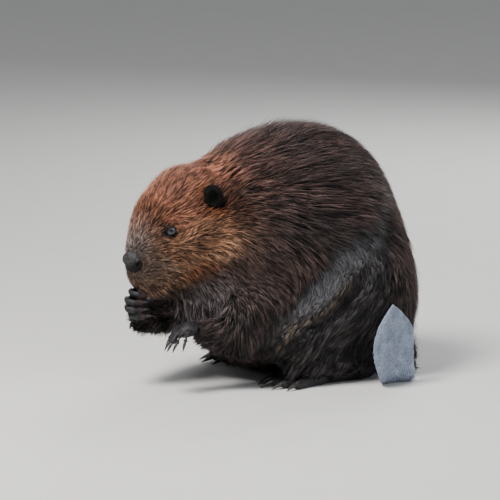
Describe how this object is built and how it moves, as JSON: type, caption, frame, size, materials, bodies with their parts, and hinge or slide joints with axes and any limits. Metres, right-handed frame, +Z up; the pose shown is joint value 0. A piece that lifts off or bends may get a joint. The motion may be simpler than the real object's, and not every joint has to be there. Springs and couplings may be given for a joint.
{
  "type": "beaver",
  "caption": "A beaver sitting hunched on its rump, head low and turned, forepaws lifted before the mouth, scaly tail bent up beside its left haunch.",
  "frame": {"origin": "on the floor, under the middle of the bounding box", "axes": "+Z up, the body faces -X, the animal's left side faces -Y"},
  "size_m": [0.4234, 0.313, 0.3308],
  "materials": {
    "body_fur": "dense dark brown coat with pale brown hair tips",
    "head_fur": "short chestnut to rusty coat, greyer on the muzzle",
    "leg_fur": "wet grey-black coat in clumps",
    "ear_skin": "near-black, matte, thinly haired",
    "nose_skin": "dark grey, finely pebbled, moist",
    "foot_skin": "dark blue-grey, wrinkled, damp",
    "tail_skin": "blue-grey, scaly, satin",
    "claw_horn": "dark horn, satin",
    "eye": "wet gloss, dark with a bluish sheen"
  },
  "bodies": {
    "root": {"eye_left": "eye", "ear_left": "ear_skin", "eye_right": "eye", "ear_right": "ear_skin", "nose": "nose_skin", "head": "head_fur", "lower_jaw": "head_fur", "neck": "head_fur", "trunk": "body_fur", "thigh_left": "leg_fur", "thigh_right": "leg_fur", "foreleg_upper_left": "body_fur", "foreleg_lower_left": "leg_fur", "forepaw_left": "foot_skin", "fore_claw_left_1": "claw_horn", "fore_claw_left_2": "claw_horn", "fore_claw_left_3": "claw_horn", "fore_claw_left_4": "claw_horn", "fore_claw_left_5": "claw_horn", "foreleg_upper_right": "body_fur", "foreleg_lower_right": "leg_fur", "forepaw_right": "foot_skin", "fore_claw_right_1": "claw_horn", "fore_claw_right_2": "claw_horn", "fore_claw_right_3": "claw_horn", "fore_claw_right_4": "claw_horn", "fore_claw_right_5": "claw_horn", "shin_left": "leg_fur", "hindfoot_left": "foot_skin", "hind_claw_left_1": "claw_horn", "hind_claw_left_2": "claw_horn", "hind_claw_left_3": "claw_horn", "hind_claw_left_4": "claw_horn", "hind_claw_left_5": "claw_horn", "shin_right": "leg_fur", "hindfoot_right": "foot_skin", "hind_claw_right_1": "claw_horn", "hind_claw_right_2": "claw_horn", "hind_claw_right_3": "claw_horn", "hind_claw_right_4": "claw_horn", "hind_claw_right_5": "claw_horn", "tail_root": "body_fur", "tail_blade": "tail_skin"}
  },
  "joints": []
}
